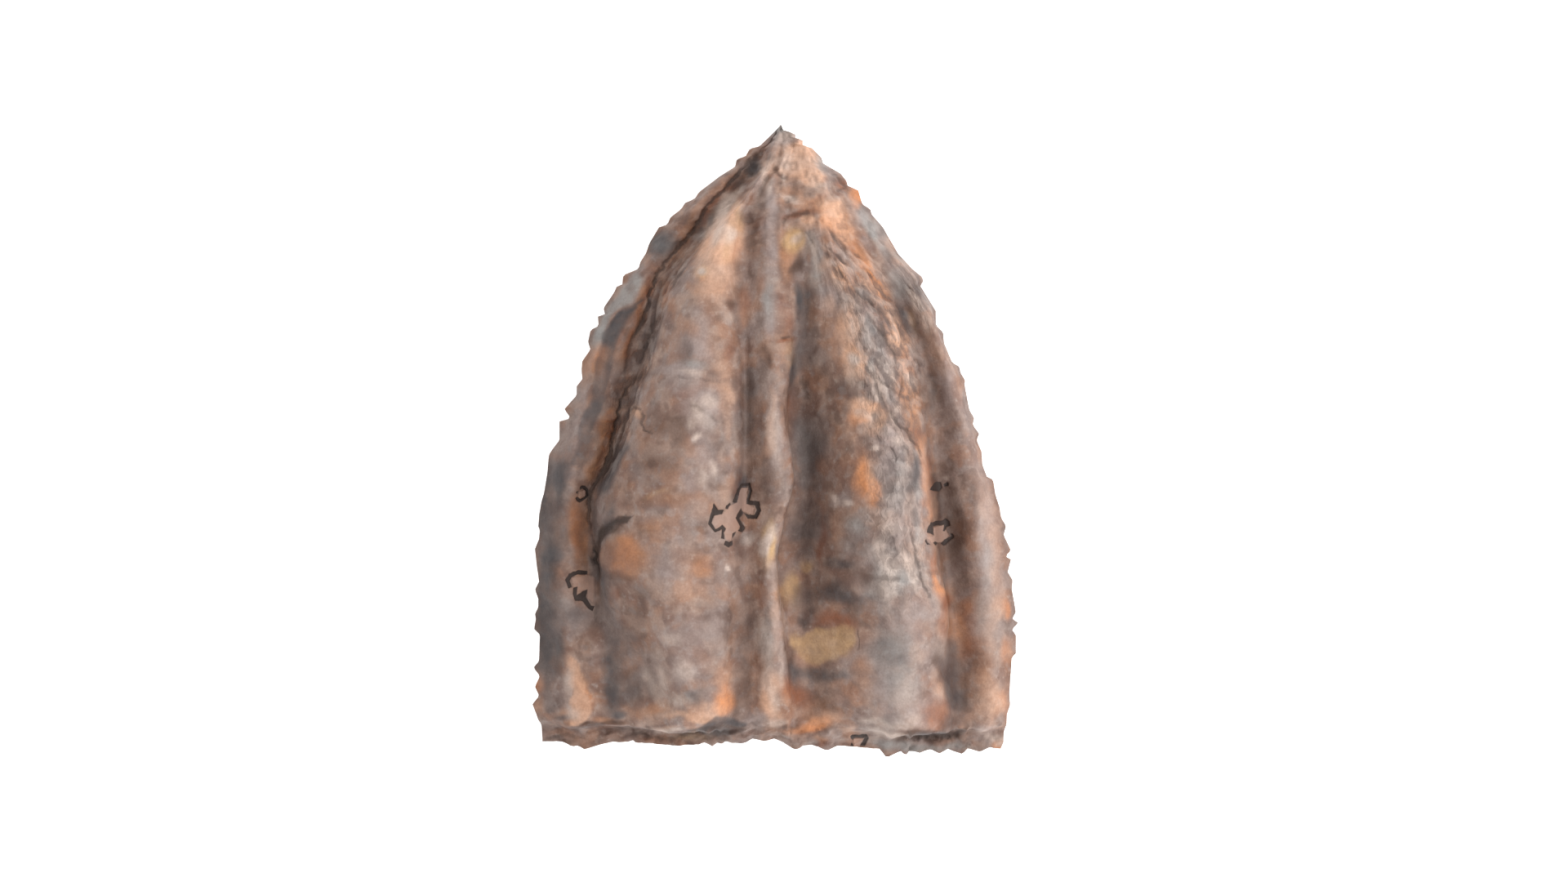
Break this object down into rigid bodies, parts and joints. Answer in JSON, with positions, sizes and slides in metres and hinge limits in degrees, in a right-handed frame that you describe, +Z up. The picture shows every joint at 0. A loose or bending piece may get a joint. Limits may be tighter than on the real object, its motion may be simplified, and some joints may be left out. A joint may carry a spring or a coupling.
{
  "type": "fossil bone fragment",
  "caption": "Pointed piece of fossil bone with lengthwise lobes, a thin middle ridge and furrows that meet at the tip, a toothed broken rim and a flat broken back that it rests on.",
  "frame": {"origin": "under the middle of the piece, on the flat broken back that it rests on", "axes": "+Y towards the pointed end, +Z up out of the ridged face, +X to the right seen from above with the tip up"},
  "size_m": [0.1851, 0.244, 0.0543],
  "materials": {
    "fossil_bone": "matte"
  },
  "bodies": {
    "root": {"bone": "fossil_bone"}
  },
  "joints": []
}
